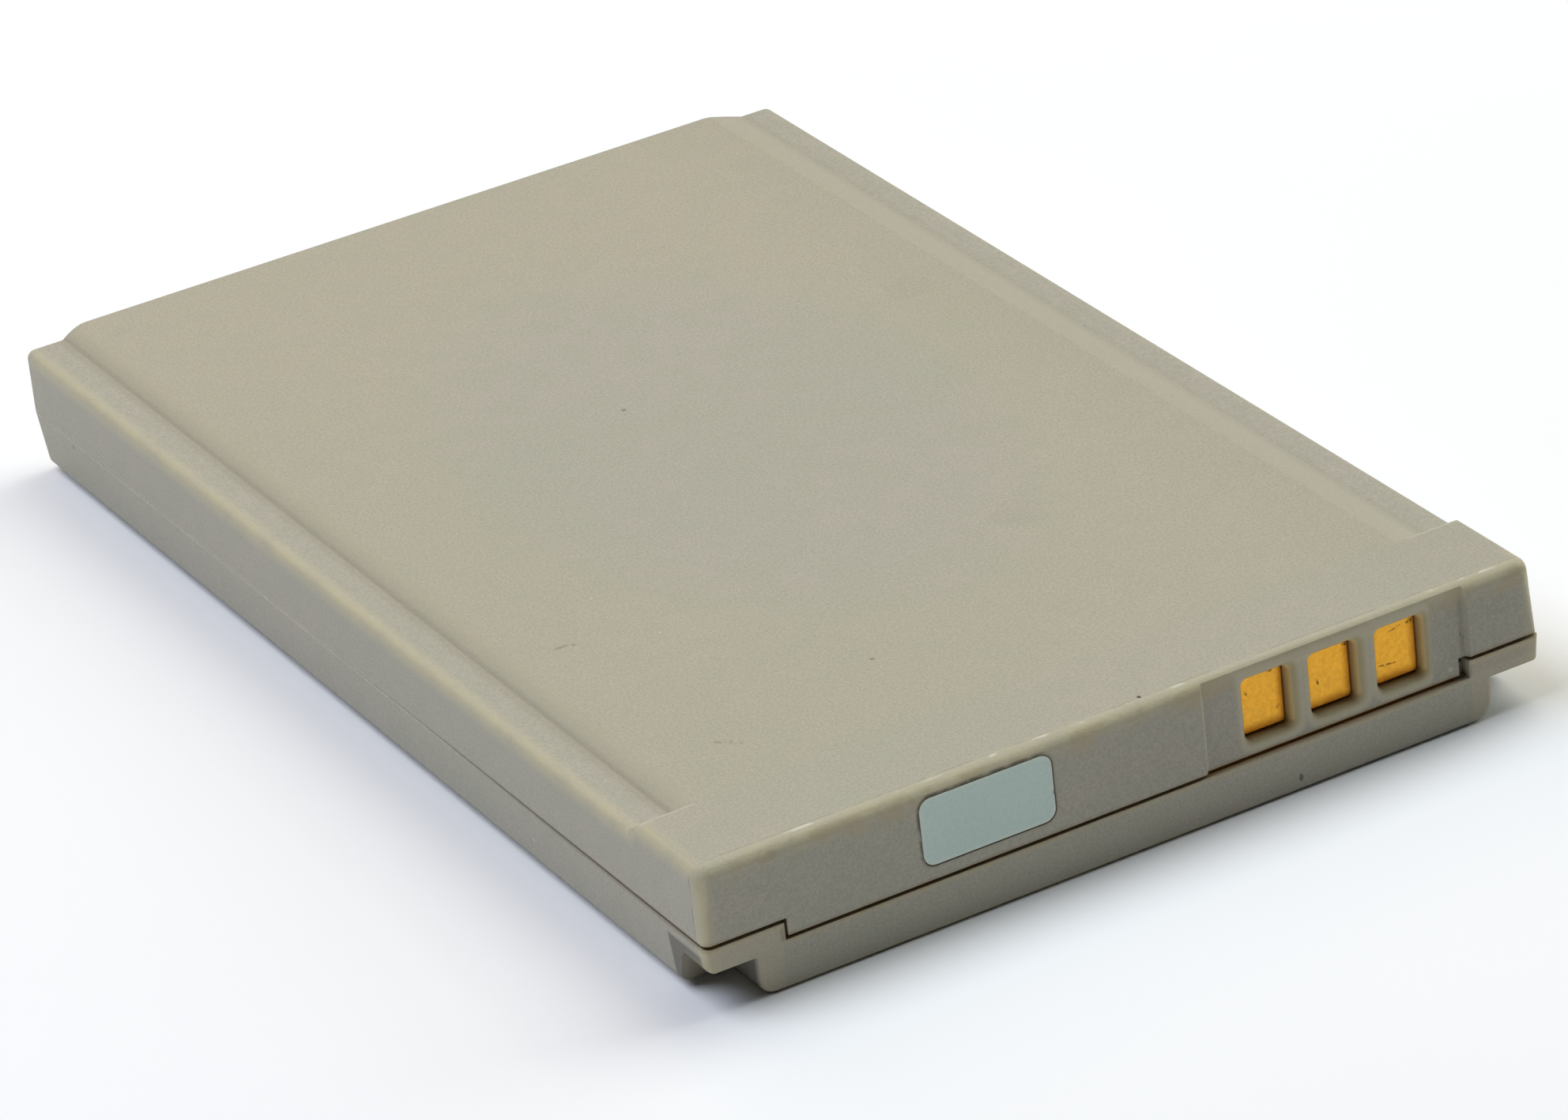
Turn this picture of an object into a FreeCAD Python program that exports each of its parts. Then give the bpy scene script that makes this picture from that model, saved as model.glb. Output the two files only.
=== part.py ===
import FreeCAD, Part
import os

from FreeCAD import Vector

# Mobile phone battery: a flat lithium-ion cell and its protection board in a case of two moulded covers.
# Millimetres. The origin is at the middle of the underside, the contact end faces -Y and +Z is up.

# Case, outside
width = 36.8  # over the lower cover's rim
length = 59.2
height = 6.1
rim_height = 2.8  # joint line along the sides, the far end and the front corners

# Case, inside
roof = 0.65
floor = 0.65
side_wall = 1.2  # from the rim to the inside
front_wall = 1.0
back_wall = 1.0
inner_corner_round = 0.5

# Joint between the covers
tongue_drop = 0.73  # the upper cover's front wall reaches this far below the joint line
tongue_left_inset = 3.35  # from the side of the case to the tongue's slot
tongue_right_inset = 3.25
tongue_left_gap = 0.13
tongue_right_gap = 0.35
lip_width = 0.45  # upstanding lip of the lower cover, inside the upper cover's wall
lip_height = 0.5
lip_root = 0.2  # depth of the lip in the wall that carries it
lip_gap = 0.05
front_seam_gap = 0.16
back_seam_gap = 0.02
seam_taper = 32.0  # the joint closes up over this distance from the front

# Upper cover, outside
cover_inset = 0.03  # upper walls stand in from the rim
cover_lean = 0.05  # side and back walls lean in by this much at the top
corner_round = 0.25  # upright corners at the contact end, on both covers
corner_top_round = 0.7  # the upper cover's corners are rounder towards the top
edge_round = 0.55  # top edges of the bar
ledge_drop = 0.49
ledge_round = 0.38
left_ledge_width = 1.8  # from the rim to the foot of the ramp
left_ramp_width = 1.02
left_ramp_bulge = 0.075  # the ramp stands out from a straight slope
right_ledge_width = 1.6
right_ramp_width = 1.68
right_ramp_bulge = 0.02
crest_round = 1.0
foot_round = 0.15
bar_depth = 4.6  # full-width bar at the contact end, along the top
bar_ramp = 0.65
back_edge_round = 0.3

# Contacts
contact_inset = 9.15  # from the right side to the middle contact
contact_pitch = 3.0
contact_thickness = 0.25
contact_lap = 0.3  # contact plate behind the window's edge, at the sides and below
contact_top_lap = 0.05
contact_rise = 0.4  # each plate has a pad that stands forward in its window
contact_gap = 0.05
pad_edge_round = 0.1
window_width = 2.05
window_height = 2.56
window_round = 0.25
window_edge_round = 0.25
panel_width = 11.7
panel_recess = 0.2
panel_slope = 0.15  # the panel's sides slope out to the wall over this width

# Front label
label_inset = 12.22  # from the left side to the label's middle
label_width = 5.7
label_height = 2.8
label_round = 0.5
label_thickness = 0.1
label_gap = 0.06
pocket_depth = 0.12

# Lower cover, outside
base_lean = 0.25  # side and back walls stand in by this much at the bottom
front_lean = 0.05
base_ledge_rise = 0.36  # the underside steps up beside its flat middle
base_ledge_ramp = 0.9  # inside, over the step
base_ledge_round = 0.3
base_corner_round = 0.5  # upright corners at the far end
notch_width = 2.2  # corner notches under the front tabs, as wide as the ledges
notch_depth = 1.85  # under the tab
notch_flare = 0.9  # deeper by this much at the bottom
notch_wall = 0.8
tab_thickness = 1.0
tab_round = 0.4
cheek_round = 0.5  # upright edge of each side wall, behind its notch
skirt_edge_round = 0.3  # round the outline of the front skirt
left_skirt_round = 0.6  # lower corners of the skirt, and of the flat middle behind it
right_skirt_round = 0.9

# Cell
tape_thickness = 0.1
tape_margin = 1.0
cell_gap = 0.2  # to the side walls and the back wall
cell_side_flat = 0.2  # left between the rounds of each narrow side
cell_base_round = 0.6
lid_depth = 7.0  # from the front face to the cell's lid
lid_recess = 0.15  # the can's edge stands proud of the lid
can_wall = 0.4
gasket_length = 5.0
gasket_height = 2.2
gasket_thickness = 0.25
terminal_length = 4.0
terminal_height = 1.6
terminal_thickness = 0.6
terminal_round = 0.6
insulator_margin = 0.25  # from the edge of the lid
insulator_thickness = 0.15
insulator_gap = 0.2  # round what passes through it

# Leads and thermal fuse
lead_thickness = 0.12
lead_width = 2.2
lead_bend = 0.25
foot_length = 1.6
positive_lead_inset = 9.4  # from the left side to the upright run
positive_foot_length = 3.6
fuse_lead_inset = 6.9  # from the right side to the upright run
fuse_length = 4.4
fuse_height = 3.2
fuse_round = 0.5

# Protection board
board_thickness = 0.8
board_gap = 0.4  # to the corner blocks at both ends
board_top_gap = 0.03
rib_width = 0.6
rib_thickness = 0.6
rib_inset = 0.9  # from the board's end to the rib's middle
rib_height = 1.4
rib_gap = 0.05
chip_size = (2.9, 1.1, 1.6)  # along the board, out from it, up it
switch_size = (3.0, 1.0, 3.2)
package_lead = (0.35, 0.15, 0.45)
package_draft = 0.12
chip_lead_count = 3  # on each side of the package
switch_lead_count = 4
large_chip_size = (1.6, 0.5, 0.8)
small_chip_size = (1.0, 0.35, 0.5)
chip_round = 0.08
part_spacing = 0.6  # between components on the board

# Places worked out from the sizes above
left = -width / 2
right = width / 2
front = -length / 2
back = length / 2
ceiling = height - roof
base_x = right - notch_width
tab_low = rim_height - tab_thickness
ledge_level = height - ledge_drop
slot_left = left + tongue_left_inset
slot_right = right - tongue_right_inset
tongue_level = rim_height - tongue_drop
left_foot = right - left_ledge_width  # from the middle, as the next three are
left_crest = left_foot - left_ramp_width
right_foot = right - right_ledge_width
right_crest = right_foot - right_ramp_width
inner_x = right - side_wall
inner_front = front + front_wall
inner_back = back - back_wall
contact_x = right - contact_inset
label_x = left + label_inset
label_z = rim_height + label_height / 2
contact_top = ceiling - board_top_gap
window_top = contact_top - contact_top_lap
window_z = window_top - window_height / 2
board_front = inner_front + contact_thickness
board_back = board_front + board_thickness
board_x = base_x - notch_wall - board_gap
rib_x = board_x - rib_inset
lid = front + lid_depth
cell_x = inner_x - cell_gap
cell_low = floor + tape_thickness
cell_high = ceiling - tape_thickness
cell_back = inner_back - cell_gap
middle_z = (cell_low + cell_high) / 2
cell_side_round = (cell_high - cell_low - cell_side_flat) / 2
gasket_face = lid - gasket_thickness
terminal_face = gasket_face - terminal_thickness
insulator_face = lid - insulator_thickness
fuse_lead_x = right - fuse_lead_inset
positive_lead_x = left + positive_lead_inset
beyond = width + length  # how far a cutting tool reaches past the case
tiny = 1e-4


def box(x0, x1, y0, y1, z0, z1):
    return Part.makeBox(x1 - x0, y1 - y0, z1 - z0, Vector(x0, y0, z0))


def prism(corners, travel):
    """The solid swept by a flat outline."""
    return Part.Face(Part.makePolygon(corners + corners[:1])).extrude(travel)


def along(profile, y0, y1):
    """A profile of (x, z) corners, swept from y0 to y1."""
    return prism([Vector(x, y0, z) for x, z in profile], Vector(0, y1 - y0, 0))


def across(profile):
    """A profile of (y, z) corners, swept across the whole case and past it."""
    return prism([Vector(-beyond, y, z) for y, z in profile], Vector(2 * beyond, 0, 0))


def rounded(solid, radius, chosen):
    """The solid with a round on each edge whose box is chosen."""
    return solid.makeFillet(radius, [edge for edge in solid.Edges if chosen(edge.BoundBox)])


def is_long(b):
    """Whether an edge with this box runs most of the way from end to end."""
    return b.YLength > length / 2


def outermost(b):
    return max(b.XMax, -b.XMin)


def rounded_plate(x, z, plate_width, plate_height, radius, y0, y1):
    """An upright plate with round corners, centred on x and z."""
    half_width = plate_width / 2
    half_height = plate_height / 2
    plate = box(x - half_width, x + half_width, y0, y1, z - half_height, z + half_height)
    return rounded(plate, radius, lambda b: b.YLength > tiny)


def rounded_well(grow, radius, z0, z1):
    """The inside of the case, grown by some width, from z0 to z1."""
    well = box(-inner_x - grow, inner_x + grow, inner_front - grow, inner_back + grow, z0, z1)
    return rounded(well, radius, lambda b: b.ZLength > tiny)


def rounded_hollow(half):
    """The inside of the case, swept from the right half of its section."""
    profile = half + [(-x, z) for x, z in reversed(half)]
    hollow = along(profile, inner_front, inner_back)
    return rounded(hollow, inner_corner_round, lambda b: b.ZLength > rim_height)


def lip(gap):
    """The lower cover's lip, or with a gap the rebate for it. It runs lower behind the tongue."""
    lip_top = rim_height + lip_height
    grow = lip_width + gap
    ring = rounded_well(grow, inner_corner_round + grow, tongue_level - lip_root, lip_top)
    ring = ring.cut(rounded_well(0, inner_corner_round, 0, height))
    dip_left = slot_left + gap
    dip_right = slot_right - gap
    return ring.cut(box(dip_left, dip_right, front, inner_front, tongue_level + lip_height, height))


def cover_block():
    """The upper cover's outside, before its top is shaped."""
    wide = right - cover_inset
    narrow = wide - cover_lean
    low_back = back - cover_inset
    high_back = low_back - cover_lean
    ends = [(-wide, tongue_level), (wide, tongue_level), (narrow, height), (-narrow, height)]
    sides = [(front, tongue_level), (low_back, tongue_level), (high_back, height), (front, height)]
    return along(ends, front, back).common(across(sides))


def ledge_cutter(side, foot_x, crest_x, bulge):
    """What is taken off beside the raised middle, with a slightly convex ramp on its inner side."""

    def at(x, z):
        return Vector(side * x, front, z)

    above = height + ledge_drop
    foot = at(foot_x, ledge_level)
    crest = at(crest_x, height)
    slope = crest - foot
    outward = Vector(side * ledge_drop, 0, foot_x - crest_x) * (bulge / slope.Length)
    open_side = [crest, at(crest_x, above), at(right, above), at(right, ledge_level), foot]
    edges = Part.makePolygon(open_side).Edges
    edges.append(Part.Arc(foot, foot + slope * 0.5 + outward, crest).toShape())
    return Part.Face(Part.Wire(edges)).extrude(Vector(0, length, 0))


def cover_middle(block):
    """The raised middle and its two ledges, which run to the far end."""
    middle = block.common(box(left, right, front + bar_depth / 2, back, 0, height))
    middle = middle.cut(ledge_cutter(-1, left_foot, left_crest, left_ramp_bulge))
    middle = middle.cut(ledge_cutter(1, right_foot, right_crest, right_ramp_bulge))

    def is_crest(b):
        return is_long(b) and b.ZMin > height - tiny

    def is_on_ledge(b):
        return is_long(b) and abs(b.ZMax - ledge_level) < tiny

    def is_foot(b):
        return is_on_ledge(b) and outermost(b) < ledge_edge_x

    def is_ledge_edge(b):
        return is_on_ledge(b) and outermost(b) > ledge_edge_x

    def is_back_edge(b):
        return b.YMin > back - cover_inset - cover_lean - tiny and b.ZMax > tongue_level + tiny

    ledge_edge_x = right - cover_inset - cover_lean - tiny
    middle = rounded(middle, crest_round, is_crest)
    middle = rounded(middle, foot_round, is_foot)
    middle = rounded(middle, ledge_round, is_ledge_edge)
    return rounded(middle, back_edge_round, is_back_edge)


def cover_bar(block):
    """The full-width bar at the contact end, with a ramp down to the ledges."""
    top_y = front + bar_depth
    foot_y = top_y + bar_ramp
    ramp = [(foot_y, tongue_level), (foot_y, ledge_level), (top_y, height)]
    bar = block.common(across([(front, tongue_level)] + ramp + [(front, height)]))

    def is_corner(b, side):
        return b.YMax < front + tiny and b.ZLength > rim_height / 2 and side * b.XMin > 0

    def is_top_edge(b):
        return b.ZMin > height - tiny and b.YMin < top_y - tiny

    for side in (-1, 1):
        corner = next(edge for edge in bar.Edges if is_corner(edge.BoundBox, side))
        starts_low = corner.Vertexes[0].Z < corner.Vertexes[1].Z
        ends = (corner_round, corner_top_round) if starts_low else (corner_top_round, corner_round)
        bar = bar.makeFillet(*ends, [corner])
    return rounded(bar, edge_round, is_top_edge)


def joint_cutter():
    """What lies below the upper cover, leaving the tongue on its front wall."""
    joint_back = rim_height + back_seam_gap
    joint_front = rim_height + front_seam_gap
    closed = front + seam_taper
    joint = [(front, 0), (back, 0), (back, joint_back), (closed, joint_back), (front, joint_front)]
    tongue_left = slot_left + tongue_left_gap
    tongue_right = slot_right - tongue_right_gap
    tongue_bottom = tongue_level + front_seam_gap
    return across(joint).cut(box(tongue_left, tongue_right, front, inner_front, tongue_bottom, height))


def cover_cavity():
    """The inside of the upper cover, which follows its right ledge and raised middle on both sides."""
    low = ledge_level - roof
    return rounded_hollow([(inner_x, 0), (inner_x, low), (right_foot, low), (right_crest, ceiling)])


def contact_places():
    return [contact_x + step * contact_pitch for step in (-1, 0, 1)]


def cut_contact_panel(cover):
    """The shallow panel on the front wall and its three windows."""
    panel_face = front + panel_recess
    half = panel_width / 2
    wide = half + panel_slope
    outline = [(-half, panel_face), (-wide, front), (wide, front), (half, panel_face)]
    cover = cover.cut(prism([Vector(contact_x + x, y, 0) for x, y in outline], Vector(0, 0, height)))
    for x in contact_places():
        window = rounded_plate(x, window_z, window_width, window_height, window_round, front, board_front)
        cover = cover.cut(window)

    def is_window_edge(b):
        inside = contact_x - half + tiny < b.XMin and b.XMax < contact_x + half - tiny
        level = window_top - window_height - tiny < b.ZMin and b.ZMax < window_top + tiny
        return inside and level and b.YMax < panel_face + tiny

    return rounded(cover, window_edge_round, is_window_edge)


def label_pocket():
    pocket_width = label_width + 2 * label_gap
    pocket_height = label_height + 2 * label_gap
    pocket_round = label_round + label_gap
    pocket_back = front + pocket_depth
    return rounded_plate(label_x, label_z, pocket_width, pocket_height, pocket_round, front, pocket_back)


def rib(x, z0, z1):
    """A rib that stands behind the board."""
    rib_front = board_back + rib_gap
    return box(x - rib_width / 2, x + rib_width / 2, rib_front, rib_front + rib_thickness, z0, z1)


def top_cover():
    block = cover_block()
    cover = cover_middle(block).fuse(cover_bar(block)).removeSplitter()
    cover = cover.cut(joint_cutter()).cut(cover_cavity()).cut(lip(lip_gap))
    cover = cut_contact_panel(cover)
    cover = cover.cut(label_pocket())
    for side in (-1, 1):
        cover = cover.fuse(rib(side * rib_x, ceiling - rib_height, ceiling))
    pad_z = rim_height + lip_height
    pad = box(-board_x, -board_x + rib_inset, inner_front, board_front, pad_z, ceiling)
    return cover.fuse(pad).removeSplitter()


def quarter(start, end, hub):
    """A quarter circle from start to end, about the hub."""
    outward = (start - hub) + (end - hub)
    through = hub + outward * ((start - hub).Length / outward.Length)
    return Part.Arc(start, through, end).toShape()


def side_cutter(side, skirt_round):
    """What lies outside the skirt and under the tab, with their round edges, from end to end."""

    def at(x, z):
        return Vector(side * x, front, z)

    tab_side = tab_low + tab_round
    clear = right + tab_round
    corners = [at(right, tab_side), at(clear, tab_side), at(clear, 0), at(base_x - skirt_round, 0)]
    inner_top = at(base_x, tab_low)
    skirt_top = at(base_x, skirt_round)
    tab_start = at(right - tab_round, tab_low)
    edges = Part.makePolygon(corners).Edges
    edges.append(quarter(corners[-1], skirt_top, at(base_x - skirt_round, skirt_round)))
    edges.extend(Part.makePolygon([skirt_top, inner_top, tab_start]).Edges)
    edges.append(quarter(tab_start, corners[0], at(right - tab_round, tab_side)))
    return Part.Face(Part.Wire(edges)).extrude(Vector(0, length, 0))


def underside_cutter(side, skirt_round):
    """The notch under a corner tab, and the ledge beside the underside's flat middle."""
    tab_side = tab_low + tab_round
    mouth_end = front + notch_depth
    end_wall = [(mouth_end + notch_flare, 0), (mouth_end, tab_low), (mouth_end, tab_side)]
    notch = [(front, 0)] + end_wall + [(front, tab_side)]
    ledge = [(front, 0), (back, 0), (back, base_ledge_rise), (front, base_ledge_rise)]
    outside = side_cutter(side, skirt_round)
    return outside.common(across(notch)).fuse(outside.common(across(ledge)))


def cheek_cutter(side):
    """What is taken off the upright edge of a side wall, behind its notch."""
    wall = front + notch_depth + notch_flare

    def at(x, y):
        return Vector(side * x, y, 0)

    corner = at(right, wall)
    start = at(right - cheek_round, wall)
    end = at(right, wall + cheek_round)
    edges = Part.makePolygon([end, corner, start]).Edges
    edges.append(quarter(start, end, at(right - cheek_round, wall + cheek_round)))
    return Part.Face(Part.Wire(edges)).extrude(Vector(0, -notch_flare, tab_low))


def corner_block(side):
    """The solid corner that carries a tab and the walls of its notch."""
    inner = side * (base_x - notch_wall)
    outer = side * right
    block_back = front + notch_depth + notch_flare + notch_wall
    return box(min(inner, outer), max(inner, outer), front, block_back, 0, rim_height)


def base_well():
    """The inside of the lower cover, which follows its underside."""
    side_floor = base_ledge_rise + floor
    ramp_end = base_x - base_ledge_ramp
    well = rounded_hollow([(inner_x, height), (inner_x, side_floor), (base_x, side_floor), (ramp_end, floor)])
    return well.cut(corner_block(-1)).cut(corner_block(1))


def bottom_cover():
    base_half = right - base_lean
    ends = [(-base_half, 0), (base_half, 0), (right, rim_height), (left, rim_height)]
    sides = [(front + front_lean, 0), (back - base_lean, 0), (back, rim_height), (front, rim_height)]
    cover = along(ends, front, back).common(across(sides))
    cover = rounded(cover, corner_round, lambda b: b.ZLength > rim_height / 2 and b.YMax < 0)
    cover = rounded(cover, base_corner_round, lambda b: b.ZLength > rim_height / 2 and b.YMin > 0)
    for side, skirt_round in ((-1, left_skirt_round), (1, right_skirt_round)):
        cover = cover.cut(underside_cutter(side, skirt_round))

    def is_skirt_edge(b):
        return b.YMax < front + front_lean + tiny and b.ZMax < tab_low + tiny and b.ZMin < tab_low - tiny

    def is_ledge_edge(b):
        level = b.ZLength < tiny and abs(b.ZMin - base_ledge_rise) < tiny
        return level and is_long(b) and outermost(b) > base_half

    cover = rounded(cover, skirt_edge_round, is_skirt_edge)
    cover = rounded(cover, base_ledge_round, is_ledge_edge)
    cover = cover.cut(cheek_cutter(-1)).cut(cheek_cutter(1)).cut(base_well())
    cover = cover.cut(box(slot_left, slot_right, front, inner_front, tongue_level, height)).fuse(lip(0))
    for side in (-1, 1):
        cover = cover.fuse(rib(side * rib_x, floor, floor + rib_height))
    return cover.removeSplitter()


def lid_outline(margin, y0, y1):
    """A plate that follows the can's section, in from its outside by a margin."""
    plate_width = 2 * (cell_x - margin)
    plate_height = cell_high - cell_low - 2 * margin
    return rounded_plate(0, middle_z, plate_width, plate_height, cell_side_round - margin, y0, y1)


def cell():
    """The sealed can: round narrow sides, a round base and a lid set in from its edge."""
    cell_front = lid - lid_recess
    can = box(-cell_x, cell_x, cell_front, cell_back, cell_low, cell_high)
    can = rounded(can, cell_side_round, lambda b: b.YLength > tiny)
    can = rounded(can, cell_base_round, lambda b: b.YMin > cell_back - tiny)
    return can.cut(lid_outline(can_wall, cell_front, lid))


def terminal_gasket():
    return rounded_plate(0, middle_z, gasket_length, gasket_height, terminal_round, gasket_face, lid)


def cell_terminal():
    size = (terminal_length, terminal_height)
    return rounded_plate(0, middle_z, *size, terminal_round, terminal_face, gasket_face)


def lid_insulator():
    """A paper strip with holes for the terminal and for the foot of the positive lead."""
    strip = lid_outline(can_wall + insulator_margin, insulator_face, lid)
    hole_size = (gasket_length + 2 * insulator_gap, gasket_height + 2 * insulator_gap)
    strip = strip.cut(rounded_plate(0, middle_z, *hole_size, terminal_round, insulator_face, lid))
    foot_x0 = positive_lead_x - positive_foot_length - insulator_gap
    foot_x1 = positive_lead_x + lead_thickness + insulator_gap
    low = middle_z - lead_width / 2 - insulator_gap
    return strip.cut(box(foot_x0, foot_x1, insulator_face, lid, low, 2 * middle_z - low))


def bent_lead(run_x, cell_foot_end, cell_face):
    """A nickel strip from a face beside the cell, along a run towards the front, to a foot on the board."""
    run_end = run_x + lead_thickness
    foot_end = run_end + foot_length
    corners = [
        (cell_foot_end, cell_face - lead_thickness),
        (run_x, cell_face - lead_thickness),
        (run_x, board_back),
        (foot_end, board_back),
        (foot_end, board_back + lead_thickness),
        (run_end, board_back + lead_thickness),
        (run_end, cell_face),
        (cell_foot_end, cell_face),
    ]
    low = middle_z - lead_width / 2
    lead = prism([Vector(x, y, low) for x, y in corners], Vector(0, 0, lead_width))
    inside = [(run_x, cell_face - lead_thickness), (run_end, board_back + lead_thickness)]
    outside = [(run_end, cell_face), (run_x, board_back)]

    def is_at(b, places):
        return any(abs(b.XMin - x) < tiny and abs(b.YMin - y) < tiny for x, y in places)

    lead = rounded(lead, lead_bend, lambda b: b.ZLength > tiny and is_at(b, inside))
    return rounded(lead, lead_bend + lead_thickness, lambda b: b.ZLength > tiny and is_at(b, outside))


def positive_lead():
    return bent_lead(positive_lead_x, positive_lead_x - positive_foot_length, lid)


def fuse_left():
    return fuse_lead_x - lead_bend - lead_thickness - fuse_length


def fuse_lead():
    return bent_lead(fuse_lead_x, fuse_left(), insulator_face)


def thermal_fuse():
    fuse_x = fuse_left() + fuse_length / 2
    fuse_back = insulator_face - lead_thickness
    return rounded_plate(fuse_x, middle_z, fuse_length, fuse_height, fuse_round, terminal_face, fuse_back)


def negative_lead():
    start = -terminal_length / 2
    end = fuse_left() + fuse_length
    low = middle_z - terminal_height / 2
    return box(start, end, terminal_face - lead_thickness, terminal_face, low, low + terminal_height)


def circuit_board():
    return box(-board_x, board_x, board_front, board_back, floor, contact_top)


def contact_plate(x):
    """A plate on the board, wider than its window, with a pad that stands forward in the window."""
    plate_width = window_width + 2 * contact_lap
    low = window_top - window_height - contact_lap
    plate = box(x - plate_width / 2, x + plate_width / 2, inner_front, board_front, low, contact_top)
    plate = rounded(plate, window_round, lambda b: b.YLength > tiny)
    pad_size = (window_width - 2 * contact_gap, window_height - 2 * contact_gap)
    pad_face = inner_front - contact_rise
    pad = rounded_plate(x, window_z, *pad_size, window_round - contact_gap, pad_face, inner_front)
    pad = rounded(pad, pad_edge_round, lambda b: b.YMax < pad_face + tiny)
    return plate.fuse(pad).removeSplitter()


def front_label():
    label_back = front + pocket_depth
    label_front = label_back - label_thickness
    return rounded_plate(label_x, label_z, label_width, label_height, label_round, label_front, label_back)


def package(x, z, size, leads_a_side):
    """A moulded package on the back of the board, with a row of leads above and below."""
    size_x, size_y, size_z = size
    lead_x, lead_y, lead_z = package_lead
    base = package_outline(x, z, size_x, size_z, board_back)
    top = package_outline(x, z, size_x - package_draft, size_z - package_draft, board_back + size_y)
    body = Part.makeLoft([base, top], True, True)
    pitch = size_x / leads_a_side
    half = size_z / 2 + lead_z
    lead_face = board_back + lead_y
    for count in range(leads_a_side):
        lead_left = x - size_x / 2 + (count + 0.5) * pitch - lead_x / 2
        body = body.fuse(box(lead_left, lead_left + lead_x, board_back, lead_face, z - half, z + half))
    return body.removeSplitter()


def package_outline(x, z, size_x, size_z, y):
    half_x = size_x / 2
    half_z = size_z / 2
    corners = [(-half_x, -half_z), (half_x, -half_z), (half_x, half_z), (-half_x, half_z)]
    return Part.makePolygon([Vector(x + dx, y, z + dz) for dx, dz in corners + corners[:1]])


def chip_part(x, z, size):
    """A small ceramic block, flat on the board."""
    half_x = size[0] / 2
    half_z = size[2] / 2
    block = box(x - half_x, x + half_x, board_back, board_back + size[1], z - half_z, z + half_z)
    return rounded(block, chip_round, lambda b: b.XLength > tiny and b.YMin > board_back + tiny)


def board_parts():
    """The components, set out along the board from the foot of the positive lead."""
    step = large_chip_size[2] + part_spacing
    first_x = positive_lead_x + lead_thickness + foot_length + part_spacing + large_chip_size[0] / 2
    chip_x = first_x + large_chip_size[0] / 2 + part_spacing + chip_size[0] / 2
    switch_x = chip_x + chip_size[0] / 2 + part_spacing + switch_size[0] / 2
    last_x = switch_x + switch_size[0] / 2 + part_spacing + large_chip_size[0] / 2
    end_x = last_x + large_chip_size[0] + part_spacing
    return {
        "sense_resistor": chip_part(first_x, middle_z + step / 2, large_chip_size),
        "filter_resistor": chip_part(first_x, middle_z - step / 2, small_chip_size),
        "protection_chip": package(chip_x, middle_z, chip_size, chip_lead_count),
        "switch_transistor": package(switch_x, middle_z, switch_size, switch_lead_count),
        "filter_capacitor": chip_part(last_x, middle_z + step / 2, small_chip_size),
        "thermistor": chip_part(last_x, middle_z - step / 2, large_chip_size),
        "identity_resistor": chip_part(end_x, middle_z, small_chip_size),
    }


def tape(low):
    tape_x = cell_x - cell_side_round - tape_margin
    return box(-tape_x, tape_x, lid + tape_margin, cell_back - tape_margin, low, low + tape_thickness)


def pieces():
    contact_names = ("contact_left", "contact_middle", "contact_right")
    contacts = {name: contact_plate(x) for name, x in zip(contact_names, contact_places())}
    return {
        "top_cover": top_cover(),
        "bottom_cover": bottom_cover(),
        "front_label": front_label(),
        "circuit_board": circuit_board(),
        "cell": cell(),
        "cell_terminal": cell_terminal(),
        "terminal_gasket": terminal_gasket(),
        "lid_insulator": lid_insulator(),
        "positive_lead": positive_lead(),
        "negative_lead": negative_lead(),
        "thermal_fuse": thermal_fuse(),
        "fuse_lead": fuse_lead(),
        "lower_tape": tape(floor),
        "upper_tape": tape(cell_high),
        **contacts,
        **board_parts(),
    }


os.makedirs("parts", exist_ok=True)
for name, piece in pieces().items():
    piece.exportStep("parts/" + name + ".step")
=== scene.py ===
import math

import bmesh
import bpy
from mathutils import Matrix, Vector


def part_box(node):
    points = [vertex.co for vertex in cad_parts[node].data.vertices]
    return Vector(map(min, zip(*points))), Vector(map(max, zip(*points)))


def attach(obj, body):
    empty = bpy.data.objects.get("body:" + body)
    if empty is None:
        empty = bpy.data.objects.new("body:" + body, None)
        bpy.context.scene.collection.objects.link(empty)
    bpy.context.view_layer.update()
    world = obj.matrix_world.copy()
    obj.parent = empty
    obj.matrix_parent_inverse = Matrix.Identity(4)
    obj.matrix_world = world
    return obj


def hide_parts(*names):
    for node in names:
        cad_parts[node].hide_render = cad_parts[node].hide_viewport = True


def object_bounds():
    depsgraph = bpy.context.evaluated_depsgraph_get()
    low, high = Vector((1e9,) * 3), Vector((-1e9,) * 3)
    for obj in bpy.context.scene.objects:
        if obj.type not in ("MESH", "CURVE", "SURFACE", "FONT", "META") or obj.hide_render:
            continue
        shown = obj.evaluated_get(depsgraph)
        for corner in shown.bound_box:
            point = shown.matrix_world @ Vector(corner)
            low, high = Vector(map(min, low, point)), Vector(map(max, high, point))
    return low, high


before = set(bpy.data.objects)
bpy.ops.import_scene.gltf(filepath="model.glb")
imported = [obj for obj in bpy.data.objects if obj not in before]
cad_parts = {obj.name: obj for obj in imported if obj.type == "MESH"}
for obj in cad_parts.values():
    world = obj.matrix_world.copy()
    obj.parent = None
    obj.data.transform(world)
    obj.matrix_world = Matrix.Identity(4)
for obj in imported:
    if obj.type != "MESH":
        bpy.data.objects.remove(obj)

# Looks of a mobile phone battery. Lengths in the finishes are millimetres, all others are metres.

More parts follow.
